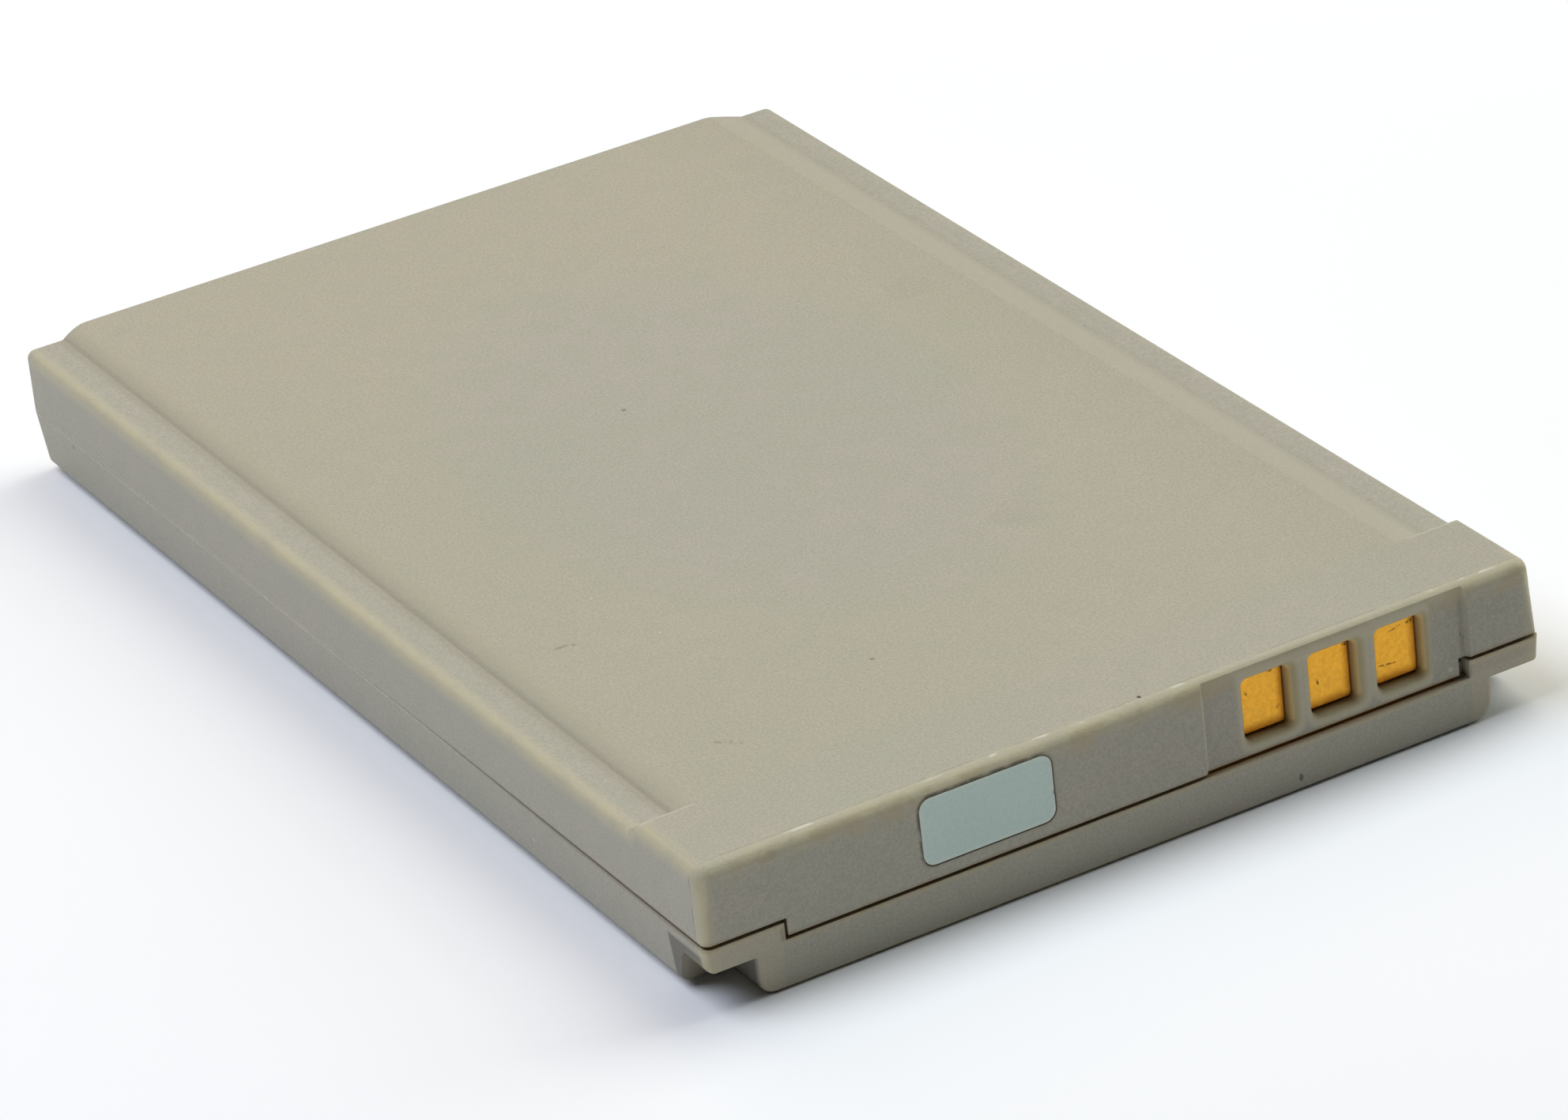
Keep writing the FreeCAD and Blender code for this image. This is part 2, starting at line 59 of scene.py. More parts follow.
cad_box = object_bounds()
MILLIMETRE = 0.001
MICROMETRE = 0.000001
case_low, case_high = (Vector(corner) / MILLIMETRE for corner in cad_box)
front = case_low.y
back = case_high.y
left = case_low.x
right = case_high.x
top = case_high.z
rim = 2.8  # joint line of the two covers
tongue = 2.07  # joint line below the contacts
tongue_end = 15.1  # from the middle
seam = 0.16  # width of the joint at the front
edge_round = 0.55  # top edge of the bar
corner_round = 0.25  # upright corners at the joint
bar_back = front + 4.6  # full-width bar at the contact end
bar_ramp = 0.65
ledge = 5.61
left_foot = -16.6  # where the ramps meet the ledges
right_foot = 16.8
ramp_start = 15.0  # the ramps lie between these distances from the middle
ramp_end = 17.0
notch_inner = 15.9  # from the middle to the corner notches
notch_length = 3.0
panel_middle = 9.25
panel_half = 5.85
panel_left = panel_middle - panel_half
panel_right = panel_middle + panel_half
panel_top = 5.5
wall_reach = 1.0  # finishes of the front wall end this far in
pad_pitch = 3.0
pad_z = 4.09
pad_half = (0.975, 1.23)
pad_round = 0.2
label_round = 0.5

# Colours of the case, of the marks on it and of painted light and shade, as shares of red, green and blue
# light

GREY_DARK = (0.404, 0.39, 0.308)
GREY_PALE = (0.43, 0.394, 0.32)
YELLOWED_DARK = (0.416, 0.395, 0.296)
YELLOWED_PALE = (0.441, 0.399, 0.307)
# Paler yellow of rounds and edges: wear and painted highlight
WORN_EDGE_AND_HIGHLIGHT = (0.55, 0.495, 0.325)
BROWN_MOTTLE = (0.46, 0.38, 0.235)
# Painted light on the ramps
LEFT_RAMP_PAINTED_LIGHT = (0.46, 0.42, 0.29)
RIGHT_RAMP_PAINTED_LIGHT = (0.48, 0.445, 0.35)
CORNER_TAB = (0.52, 0.44, 0.3)
# Painted highlight on the bar's rear edge
BAR_EDGE_HIGHLIGHT = (0.56, 0.53, 0.42)
MOULD_LINE = (0.2, 0.175, 0.12)
# Painted highlight glints on the front edge
PAINTED_EDGE_GLINT = (0.72, 0.7, 0.58)
FRONT_DIRT = (0.28, 0.18, 0.08)
PANEL_DIRT = (0.44, 0.29, 0.15)
SLOT_DIRT = (0.34, 0.28, 0.19)
SIDE_DIRT = (0.36, 0.29, 0.19)
# Painted light in the closing joint at the back
REAR_JOINT_PAINTED_LIGHT = (0.75, 0.7, 0.57)
# Painted highlight below the joint
JOINT_LIP_HIGHLIGHT = (0.52, 0.455, 0.29)
JOINT_STAIN = (0.24, 0.155, 0.07)
RAMP_GRIME = (0.31, 0.27, 0.19)
# Painted shadow round the sticker's pocket
POCKET_PAINTED_SHADOW = (0.09, 0.07, 0.045)
# Painted shade and painted highlight at the panel's steps
PANEL_STEP_PAINTED_SHADE = (0.1, 0.075, 0.045)
PANEL_STEP_PAINTED_HIGHLIGHT = (0.6, 0.57, 0.46)
# Yellowing and painted highlight round the windows; painted shade and the gold's reflected glow in them
WINDOW_TOP_YELLOWING_AND_HIGHLIGHT = (0.56, 0.5, 0.355)
WINDOW_ROUND_YELLOWING_AND_HIGHLIGHT = (0.54, 0.49, 0.335)
# Painted shade and painted reflected glow of the gold in the windows
WINDOW_RIM_SHADE_AND_GLOW = (0.39, 0.32, 0.165)
WINDOW_WALL_PAINTED_GLOW = (0.62, 0.44, 0.18)
SCUFF = (0.2, 0.18, 0.13)
SMUDGE = (0.36, 0.26, 0.13)
SPECK = (0.12, 0.095, 0.065)
RUST = (0.05, 0.015, 0.01)
PIP = (0.6, 0.56, 0.43)

# Sockets of a Mix node that mixes colours

MIX_SHARE = 0
MIX_FIRST = 6
MIX_SECOND = 7
MIX_RESULT = 2


# Camera, light and floor


def place_camera():
    yaw = 0.464595
    pitch = 0.471490
    roll = 0.120534
    place = (-0.11592, -0.23440, 0.13390)
    level_share = math.cos(pitch)
    forward = Vector((math.sin(yaw) * level_share, math.cos(yaw) * level_share, -math.sin(pitch)))
    level = Vector((math.cos(yaw), -math.sin(yaw), 0))
    down = forward.cross(level)
    across = level * math.cos(roll) + down * math.sin(roll)
    below = down * math.cos(roll) - level * math.sin(roll)
    data = bpy.data.cameras.new("camera")
    data.sensor_fit = "HORIZONTAL"
    data.sensor_width = 36
    data.lens = 165.94
    data.clip_start = 0.01
    camera = bpy.data.objects.new("camera", data)
    bpy.context.collection.objects.link(camera)
    turn = Matrix((across, -below, -forward)).transposed().to_4x4()
    camera.matrix_world = Matrix.Translation(place) @ turn
    bpy.context.scene.camera = camera


def soft_light(name, place, power, colour):
    """A round lamp that faces the battery."""
    data = bpy.data.lights.new(name, "AREA")
    data.shape = "DISK"
    data.size = 0.5
    data.energy = power
    data.color = colour
    light = bpy.data.objects.new(name, data)
    bpy.context.collection.objects.link(light)
    place = Vector(place)
    turn = (-place).to_track_quat("-Z", "Y").to_matrix().to_4x4()
    light.matrix_world = Matrix.Translation(place) @ turn


def light_studio():
    world = bpy.data.worlds.new("studio")
    world.use_nodes = True
    background = world.node_tree.nodes["Background"]
    background.inputs["Color"].default_value = (1, 1, 1, 1)
    background.inputs["Strength"].default_value = 0.005
    bpy.context.scene.world = world
    bpy.context.scene.view_settings.view_transform = "Standard"
    soft_light("high_left", (-0.3, 0.1, 0.55), 2.98, (0.78, 0.85, 1.0))
    soft_light("high_right", (0.3, 0.1, 0.55), 1.82, (1.0, 0.99, 0.88))
    soft_light("right", (0.6, 0, 0.3), 1.44, (0.91, 1.0, 0.98))
    soft_light("back", (0, 0.5, 0.45), 0.97, (1.0, 0.76, 0.54))


def lay_floor():
    mesh = bpy.data.meshes.new("floor")
    half = 3.0
    corners = [(-half, -half, 0), (half, -half, 0), (half, half, 0), (-half, half, 0)]
    mesh.from_pydata(corners, [], [(0, 1, 2, 3)])
    floor = bpy.data.objects.new("floor", mesh)
    bpy.context.collection.objects.link(floor)
    finish = Finish("floor_paper", {"Roughness": 0.9})
    tone = finish.noise(40, 3, 0.5)
    finish.surface(finish.between((0.93, 0.93, 0.93), (0.95, 0.95, 0.95), tone))
    mesh.materials.append(finish.material)


# Finishes


class Value:
    """A number that changes over a surface. Arithmetic on it adds Math nodes."""

    def __init__(self, finish, socket):
        self.finish = finish
        self.socket = socket

    def maths(self, operation, *numbers):
        sockets = dict(enumerate(numbers))
        node = self.finish.node("ShaderNodeMath", {"operation": operation}, sockets)
        return Value(self.finish, node.outputs[0])

    def __add__(self, other):
        return self.maths("ADD", self, other)

    def __radd__(self, other):
        return self.maths("ADD", other, self)

    def __sub__(self, other):
        return self.maths("SUBTRACT", self, other)

    def __rsub__(self, other):
        return self.maths("SUBTRACT", other, self)

    def __mul__(self, other):
        return self.maths("MULTIPLY", self, other)

    def __rmul__(self, other):
        return self.maths("MULTIPLY", other, self)

    def __truediv__(self, other):
        return self.maths("DIVIDE", self, other)

    def __neg__(self):
        return 0 - self

    def __abs__(self):
        return self.maths("ABSOLUTE", self)

    def root(self):
        return self.maths("SQRT", self)

    def sine(self):
        return self.maths("SINE", self)

    def least(self, other):
        return self.maths("MINIMUM", self, other)

    def most(self, other):
        return self.maths("MAXIMUM", self, other)

    def rise(self, low, high):
        """0 below low, 1 above high, with a smooth step between them."""
        settings = {"interpolation_type": "SMOOTHSTEP"}
        sockets = {"Value": self, "From Min": low, "From Max": high}
        return Value(self.finish, self.finish.node("ShaderNodeMapRange", settings, sockets).outputs[0])

    def fall(self, low, high):
        return 1 - self.rise(low, high)

    def wrapped(self, span):
        """The same number moved by whole spans to within half a span of 0."""
        return self.maths("WRAP", self, span / 2, -span / 2)

    def near(self, place, reach):
        """1 at a place, fading out to 0 at a reach to either side."""
        return abs(self - place).fall(reach * 0.3, reach)


class Finish:
    """A material and its nodes."""

    def __init__(self, name, constants):
        self.material = bpy.data.materials.new(name)
        self.material.use_nodes = True
        self.tree = self.material.node_tree
        self.shader = self.tree.nodes["Principled BSDF"]
        for socket, value in constants.items():
            self.shader.inputs[socket].default_value = value
        self.place = self.node("ShaderNodeTexCoord").outputs["Object"]
        self.x, self.y, self.z = (part / MILLIMETRE for part in self.parts(self.place))
        self.facing = self.parts(self.node("ShaderNodeNewGeometry").outputs["Normal"])

    def node(self, kind, settings=None, sockets=None):
        node = self.tree.nodes.new(kind)
        for name, value in (settings or {}).items():
            setattr(node, name, value)
        for name, value in (sockets or {}).items():
            if isinstance(value, Value):
                value = value.socket
            if isinstance(value, bpy.types.NodeSocket):
                self.tree.links.new(value, node.inputs[name])
            else:
                node.inputs[name].default_value = value
        return node

    def parts(self, vector):
        split = self.node("ShaderNodeSeparateXYZ", {}, {0: vector})
        return [Value(self, socket) for socket in split.outputs]

    def between(self, first, second, share):
        """One colour, turning into another. A plain colour is three numbers."""
        first, second = (colour + (1,) if isinstance(colour, tuple) else colour for colour in (first, second))
        sockets = {MIX_SHARE: share, MIX_FIRST: first, MIX_SECOND: second}
        return self.node("ShaderNodeMix", {"data_type": "RGBA"}, sockets).outputs[MIX_RESULT]

    def shaded(self, colour, amount):
        """A colour made darker or lighter by an amount about 1."""
        grey = self.node("ShaderNodeCombineColor", {}, {0: amount, 1: amount, 2: amount}).outputs[0]
        settings = {"data_type": "RGBA", "blend_type": "MULTIPLY"}
        sockets = {MIX_SHARE: 1.0, MIX_FIRST: colour, MIX_SECOND: grey}
        return self.node("ShaderNodeMix", settings, sockets).outputs[MIX_RESULT]

    def stretched(self, x, y, z):
        """Coordinates that lengthen a pattern along an axis with a small factor."""
        sockets = {0: self.place, 1: (x, y, z)}
        return self.node("ShaderNodeVectorMath", {"operation": "MULTIPLY"}, sockets).outputs[0]

    def noise(self, scale, detail, roughness, place=None):
        """Noise with so many cells to the metre."""
        sockets = {"Vector": place or self.place, "Scale": scale, "Detail": detail, "Roughness": roughness}
        return Value(self, self.node("ShaderNodeTexNoise", {}, sockets).outputs["Fac"])

    def cells(self, scale):
        """Distance to the nearest of many scattered points, in cells."""
        sockets = {"Vector": self.place, "Scale": scale}
        return Value(self, self.node("ShaderNodeTexVoronoi", {}, sockets).outputs["Distance"])

    @staticmethod
    def spot(across, along, middle, size, turn=0.0):
        """1 inside an oval on two of the coordinates, fading out to 0 round it."""
        dx = across - middle[0]
        dy = along - middle[1]
        u = (dx * math.cos(turn) + dy * math.sin(turn)) / size[0]
        v = (dy * math.cos(turn) - dx * math.sin(turn)) / size[1]
        return (u * u + v * v).fall(0.5, 1.5)

    def spots(self, across, along, places):
        """Several ovals, each given by its middle, its size and its turn."""
        first, *others = (self.spot(across, along, *place) for place in places)
        for other in others:
            first = first.most(other)
        return first

    def plate_inset(self, middle, half, corner):
        """How far a place is inside the outline of an upright plate with round corners."""
        past_x = abs(self.x - middle[0]) - (half[0] - corner)
        past_z = abs(self.z - middle[1]) - (half[1] - corner)
        return self.corner_inset(past_x, past_z, corner)

    @staticmethod
    def corner_inset(past_u, past_v, corner):
        """How far a place is inside a round corner, by how far it is past the middle of the round."""
        u = past_u.most(0)
        v = past_v.most(0)
        return corner - (u * u + v * v).root() - past_u.most(past_v).least(0)

    def surface(self, colour, roughness=None, height=None, depth=0.0, metal=None):
        """Colour, roughness, relief, whose depth is in metres, and bare metal."""
        self.tree.links.new(colour, self.shader.inputs["Base Color"])
        if roughness:
            self.tree.links.new(roughness.socket, self.shader.inputs["Roughness"])
        if height:
            bump = self.node("ShaderNodeBump", {}, {"Strength": 1.0, "Distance": depth, "Height": height})
            self.tree.links.new(bump.outputs[0], self.shader.inputs["Normal"])
        if metal:
            self.tree.links.new(metal.socket, self.shader.inputs["Metallic"])


def plastic_grain(finish):
    """Grey-beige plastic, yellowed round the top, under the fine grain of a spark-eroded mould, with painted
    shade towards the right.
    """
    x, y, z = finish.x, finish.y, finish.z
    handled_middle = finish.spot(x, y, (0, 1), (10, 17))
    raised = z.rise(ledge + 0.05, ledge + 0.2)
    behind_bar = y.rise(bar_back - 1, bar_back + 1)
    yellowed = finish.facing[2].rise(0.5, 0.9) * (1 - handled_middle)
    yellowed = yellowed * raised * (0.4 + 0.6 * behind_bar)
    dark = finish.between(GREY_DARK, YELLOWED_DARK, yellowed)
    pale = finish.between(GREY_PALE, YELLOWED_PALE, yellowed)
    cloud = finish.noise(60, 3, 0.5).rise(0.3, 0.7)
    blotch = finish.noise(750, 2, 0.5).rise(0.3, 0.7)
    grain = finish.noise(9000, 2, 0.65)
    colour = finish.between(dark, pale, 0.4 * cloud + 0.6 * blotch)
    # Painted shade: the plastic is made a little darker towards the right.
    shade_towards_right = x.rise(10, 17)
    return finish.shaded(colour, 0.7 + 0.6 * grain - 0.035 * shade_towards_right), grain


def edge_distance(u, v):
    """How far a place is from an edge, by its distances from the two faces that meet there."""
    return (u * u + v * v).root()


def worn_and_highlit_edges(finish, colour):
    """Outer edges and small rounds are yellower and paler, partly from wear and partly as painted highlight,
    and browner in patches at the front. The ramps and corner tabs are tinted, with painted light on the
    ramps, and the bar's rear edge gets a painted highlight.
    """
    x, y, z = finish.x, finish.y, finish.z
    across, along, upward = finish.facing
    beside = abs(x)
    in_side = right - beside
    in_front = y - front
    edge_z = top - (top - ledge) * y.rise(bar_back, bar_back + bar_ramp)
    nearest = edge_distance(in_side, edge_z - z)
    nearest = nearest.least(edge_distance(in_front, top - z)).least(edge_distance(in_side, in_front))
    flatness = abs(across).most(abs(along)).most(abs(upward))
    on_ramp = beside.rise(ramp_start - 0.1, ramp_start) * beside.fall(ramp_end, ramp_end + 0.1)
    on_ramp = on_ramp * y.rise(bar_back, bar_back + 0.1)
    on_panel = x.rise(panel_left + 0.1, panel_left + 0.2) * x.fall(panel_right + 0.2, panel_right + 0.3)
    on_panel = on_panel * z.fall(panel_top, panel_top + 0.1)
    on_skirt = z.fall(tongue - 0.4, tongue - 0.2)
    rounds = flatness.fall(0.86, 0.995) * (1 - on_ramp) * (1 - on_panel) * (1 - 0.4 * on_skirt)
    patchy = finish.noise(700, 3, 0.6).rise(0.25, 0.65)
    # Pale yellow on rounds and near edges: wear, and painted highlight.
    wear_and_highlight = rounds.most(0.75 * nearest.fall(0.2, 0.85)) * (0.6 + 0.4 * patchy)
    sheltered = x.rise(right - 1.9, right - 0.9) * y.rise(front + 1, front + 2)
    colour = finish.between(colour, WORN_EDGE_AND_HIGHLIGHT, wear_and_highlight * (1 - 0.75 * sheltered))
    mottle = finish.noise(900, 3, 0.6).rise(0.42, 0.6) * (-along).rise(0.35, 0.8)
    mottle = mottle * z.rise(top - 1.2, top - 0.7)
    colour = finish.between(colour, BROWN_MOTTLE, 0.6 * mottle)
    # Painted light: ramp faces that turn to the left or right are made lighter and warmer.
    left_ramp_painted_light = on_ramp * (-across).rise(0.1, 0.35) * x.fall(-1, 1)
    colour = finish.between(colour, LEFT_RAMP_PAINTED_LIGHT, 0.5 * left_ramp_painted_light)
    right_ramp_painted_light = on_ramp * across.rise(0.1, 0.35) * x.rise(-1, 1)
    colour = finish.between(colour, RIGHT_RAMP_PAINTED_LIGHT, 0.6 * right_ramp_painted_light)
    on_tab = beside.rise(tongue_end, tongue_end + 0.2) * z.fall(rim - 0.1, rim) * (-along).rise(0.6, 0.9)
    colour = finish.between(colour, CORNER_TAB, 0.4 * on_tab)
    # Painted highlight along the sharp rear edge of the bar.
    bar_edge_highlight = y.near(bar_back, 0.12) * beside.rise(ramp_start + 0.4, ramp_start + 1)
    bar_edge_highlight = bar_edge_highlight * z.rise(top - 0.2, top - 0.1)
    return finish.between(colour, BAR_EDGE_HIGHLIGHT, 0.7 * bar_edge_highlight)


def mould_lines(finish, colour):
    """Fine broken lines at the bar's front edge and at the near corner, and painted highlight glints along
    the front edge.
    """
    x, y, z = finish.x, finish.y, finish.z
    across, _, upward = finish.facing
    broken = finish.noise(1500, 2, 0.5).rise(0.3, 0.6)
    edge_line = y.near(front + edge_round + 0.05, 0.06) * upward.rise(0.9, 0.98)
    corner_line = y.near(front + 0.66, 0.06) * (-across).rise(0.9, 0.98)
    corner_line = corner_line * z.rise(rim + 0.2, rim + 0.4)
    colour = finish.between(colour, MOULD_LINE, broken * (0.35 * edge_line + 0.55 * corner_line))
    # Painted highlight: short bright glints just below the top of the front edge.
    painted_glints = finish.noise(1000, 2, 0.5, finish.stretched(0.7, 1, 1)).rise(0.54, 0.64)
    painted_glints = painted_glints * y.near(front + edge_round - 0.08, 0.1) * z.rise(top - 0.2, top - 0.1)
    painted_glints = painted_glints * abs(x).fall(right - 1.6, right - 1.2)
    return finish.between(colour, PAINTED_EDGE_GLINT, 0.7 * painted_glints)


def joint_dirt_and_rear_light(finish, colour):
    """Brown dirt in the joint of the covers. Towards the back, where the joint closes up, the joint gets a
    pale colour and its edges painted light, which lift its shade until the line is lost.
    """
    x, y, z = finish.x, finish.y, finish.z
    corner_x = abs(x) - (right - corner_round)
    corner_y = abs(y) - (back - corner_round)
    inward = finish.corner_inset(corner_x, corner_y, corner_round)
    off_panel_middle = abs(x - panel_middle)
    near_joint = z.fall(rim + 0.7, rim + 0.8)
    at_joint = z.rise(rim - 0.1, rim - 0.04) * near_joint
    in_wall = (y - front).fall(wall_reach, wall_reach + 0.1)
    at_tongue = z.rise(tongue - 0.1, tongue - 0.04) * in_wall * near_joint
    deep = inward - 0.3 * z.rise(rim + seam, rim + seam + 0.1)
    inside = deep.rise(0.02, 0.16) * at_joint.most(at_tongue)
    on_panel = off_panel_middle.fall(panel_half, panel_half + 0.1) * z.rise(tongue + 0.17, tongue + 0.22)
    inside = inside * (1 - on_panel)
    by_panel = off_panel_middle.fall(panel_half - 0.1, panel_half + 0.1)
    in_slot = x.rise(tongue_end - 0.5, tongue_end - 0.3) * x.fall(tongue_end + 0.1, tongue_end + 0.2)
    dirt = finish.between(FRONT_DIRT, PANEL_DIRT, by_panel)
    dirt = finish.between(dirt, SLOT_DIRT, in_slot)
    dirt = finish.between(dirt, SIDE_DIRT, y.rise(front + 0.5, front + 14))
    # Painted light: towards the back the joint's colour turns paler than the plastic, to lift the shade in
    # the closing gap.
    dirt = finish.between(dirt, REAR_JOINT_PAINTED_LIGHT, y.rise(-16, -2))
    colour = finish.between(colour, dirt, 0.95 * inside)
    # Painted light on the edges of the closed joint at the back of the left side.
    closed_joint_painted_light = z.near(rim + 0.01, 0.07) * x.fall(left + 0.4, left + 0.9) * y.rise(-20, -6)
    return finish.shaded(colour, 1 + 0.29 * closed_joint_painted_light)


def joint_stains(finish, colour):
    """A painted highlight along the lower cover's top edge below the joint, and dirt that has spread a little
    beside it.
    """
    x, y, z = finish.x, finish.y, finish.z
    across, along, _ = finish.facing
    in_tongue = abs(x).fall(tongue_end - 0.05, tongue_end + 0.05)
    joint_z = rim + seam / 2 - (rim - tongue) * in_tongue
    on_front = (-along).rise(0.3, 0.7)
    uneven = finish.noise(1300, 3, 0.6).rise(0.25, 0.7)
    # Painted highlight along the lower cover's top edge, just below the joint.
    lip_highlight = z.near(joint_z - 0.15, 0.16) * on_front
    colour = finish.between(colour, JOINT_LIP_HIGHLIGHT, 0.75 * lip_highlight * (0.5 + 0.5 * uneven))
    front_stain = z.near(joint_z, 0.26) * on_front
    stepped = z.rise(tongue - 0.05, tongue + 0.05) * z.fall(rim + 0.1, rim + 0.25)
    step_stain = abs(x).near(tongue_end, 0.22) * stepped * on_front
    side_stain = z.near(rim + 0.06, 0.2) * (-across).rise(0.3, 0.7) * y.fall(-28, 0)
    stain = front_stain.most(step_stain).most(side_stain) * (0.3 + 0.7 * uneven)
    return finish.between(colour, JOINT_STAIN, 0.5 * stain)


def ramp_grime_and_notch_shade(finish, colour):
    """Grime at the feet of the ramps, and painted shade in the corner notches."""
    x, y, z = finish.x, finish.y, finish.z
    in_front = y - front
    low = z.rise(ledge - 0.1, ledge - 0.05) * z.fall(ledge + 0.06, ledge + 0.2)
    low = low * y.rise(bar_back, bar_back + 0.3)
    foot = x.near(left_foot, 0.45).most(0.5 * x.near(right_foot, 0.45)) * low
    colour = finish.between(colour, RAMP_GRIME, 0.3 * foot)
    # Painted shade: the inner walls of the corner notches are darkened.
    notch_painted_shade = abs(x).rise(notch_inner, notch_inner + 0.25) * z.fall(rim - 0.5, rim - 0.3)
    notch_painted_shade = notch_painted_shade * in_front.rise(0.25, 0.6) * in_front.fall(notch_length - 0.15, notch_length)
    return finish.shaded(colour, 1 - 0.55 * notch_painted_shade)


def painted_pocket_shadow(finish, colour):
    """Painted shadow round the sticker's pocket, uneven, most of it at the upper left."""
    x, y, z = finish.x, finish.y, finish.z
    low, high = (Vector(corner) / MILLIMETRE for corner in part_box("front_label"))
    middle = (low + high) / 2
    half = (high - low) / 2
    outline = finish.plate_inset((middle.x, middle.z), (half.x, half.z), label_round)
    upper_left = ((z - middle.z) / half.z - (x - middle.x) / half.x).rise(-0.4, 0.6)
    # Painted shadow along the pocket's edge.
    ring = outline.near(-0.05, 0.14) * (-finish.facing[1]).rise(0.5, 0.9) * (y - front).fall(0.15, 0.2)
    uneven = finish.noise(1800, 3, 0.6).rise(0.2, 0.6)
    return finish.between(colour, POCKET_PAINTED_SHADOW, ring * uneven * (0.15 + 0.7 * upper_left))


def panel_marks(finish, colour):
    """The contact panel: painted shade along its right step, with darker dots, a painted highlight along its
    left step, and painted shade over the front wall towards the right.
    """
    x, y, z = finish.x, finish.y, finish.z
    on_front = (-finish.facing[1]).rise(0.2, 0.6) * z.rise(tongue, tongue + 0.2)
    on_front = on_front * (y - front).fall(wall_reach, wall_reach + 0.1)
    on_edge = on_front * z.fall(panel_top - 0.3, panel_top)
    # Painted shade along the panel's right step.
    right_edge = x.near(panel_right - 0.1, 0.14) * on_edge
    dots = finish.noise(3500, 2, 0.5).rise(0.48, 0.6) * z.near(3.9, 0.6)
    colour = finish.between(colour, PANEL_STEP_PAINTED_SHADE, right_edge * (0.18 + 0.3 * dots))
    # Painted highlight along the panel's left step.
    left_edge = x.near(panel_left, 0.09) * on_edge
    colour = finish.between(colour, PANEL_STEP_PAINTED_HIGHLIGHT, 0.45 * left_edge)
    # Painted shade: the front wall darkens towards the right.
    shade_towards_right = 0.05 * x.rise(-6, 4) + 0.04 * x.rise(panel_left, panel_left + 0.1)
    return finish.shaded(colour, 1 - on_front * shade_towards_right)


def window_marks(finish, colour):
    """Pale yellow round the windows and above them, partly yellowing and partly painted highlight, painted
    shade with a reflected glow of the gold on the window rims, and a painted glow of the gold on the window
    walls.
    """
    x, y, z = finish.x, finish.y, finish.z
    half = 1.5 * pad_pitch
    by_windows = abs(x - panel_middle).fall(half - 0.3, half) * z.rise(tongue, tongue + 0.2)
    by_windows = by_windows * (y - front).fall(wall_reach, wall_reach + 0.1)
    above = z.rise(panel_top - 0.3, panel_top - 0.05) * z.fall(panel_top + 0.2, panel_top + 0.4)
    # Yellowing and painted highlight along the panel's top above the windows.
    colour = finish.between(colour, WINDOW_TOP_YELLOWING_AND_HIGHLIGHT, 0.5 * by_windows * above)
    inset = pad_inset(finish, (0.15, 0.0))
    by_windows = by_windows * z.fall(panel_top, panel_top + 0.1)
    # Yellowing and painted highlight on the rounds of the windows.
    colour = finish.between(colour, WINDOW_ROUND_YELLOWING_AND_HIGHLIGHT, 0.6 * by_windows * inset.rise(-0.7, -0.45))
    # Painted shade with a reflected glow of the gold on the window rims.
    colour = finish.between(colour, WINDOW_RIM_SHADE_AND_GLOW, 0.8 * by_windows * inset.rise(-0.4, -0.12))
    turned = (-finish.facing[1]).fall(0.75, 0.95)
    # Painted reflection: the gold's glow on the window walls, paler than their shade.
    return finish.between(colour, WINDOW_WALL_PAINTED_GLOW, 0.85 * by_windows * turned * inset.rise(-0.16, 0.06))


def marks_of_use(finish, colour):
    """Stains, scuffs and specks."""
    x, y, z = finish.x, finish.y, finish.z
    across, along, upward = finish.facing
    on_top = upward.rise(0.9, 0.99)
    on_front = (-along).rise(0.6, 0.9)
    on_left = (-across).rise(0.8, 0.95)
    ragged = finish.noise(2500, 3, 0.6).rise(0.35, 0.6)
    stains = [
        ((12.78, 7.81), (1.1, 1.0)),
        ((5.47, -13.04), (1.2, 1.0)),
        ((-14.8, 27.29), (0.5, 0.35)),
    ]
    colour = finish.shaded(colour, 1 - 0.03 * finish.spots(x, y, stains) * on_top)
    scuffs = [
        ((-13.82, -10.84), (0.3, 0.09), 0.0),
        ((-13.45, -10.92), (0.24, 0.1), -0.5),
        ((-12.57, -21.78), (0.6, 0.12), -0.75),
    ]
    colour = finish.between(colour, SCUFF, 0.55 * finish.spots(x, y, scuffs) * ragged * on_top)
    smudge = finish.spot(x, z, (-15.41, 5.7), (0.42, 0.22)) * on_front
    colour = finish.between(colour, SMUDGE, 0.4 * smudge * (0.2 + 0.8 * ragged))
    top_specks = [
        ((-1.99, 5.77), (0.11, 0.13)),
        ((-5.11, -19.68), (0.11, 0.09)),
        ((-15.73, -24.98), (0.07, 0.07)),
    ]
    side_speck = finish.spot(y, z, (25.5, 2.49), (0.12, 0.08)) * on_left
    faint = (finish.spots(x, y, top_specks) * on_top).most(side_speck)
    skirt_speck = finish.spot(x, z, (7.33, 0.6), (0.09, 0.16)) * on_front
    colour = finish.between(colour, SPECK, (0.5 * faint).most(0.8 * skirt_speck))
    rust = finish.spot(x, y, (1.0, -28.94), (0.08, 0.1)) * z.rise(top - 0.3, top - 0.2)
    colour = finish.between(colour, RUST, 0.85 * rust)
    side_pip = finish.spot(y, z, (-15.8, 1.43), (0.09, 0.09)) * on_left
    front_pip = finish.spot(x, z, (14.42, 2.62), (0.11, 0.1)) * on_front
    pips = [((-10.96, -8.03), (0.07, 0.07)), ((-10.29, -12.33), (0.06, 0.06))]
    top_pips = finish.spots(x, y, pips) * on_top
    return finish.between(colour, PIP, 0.7 * side_pip.most(front_pip).most(top_pips))


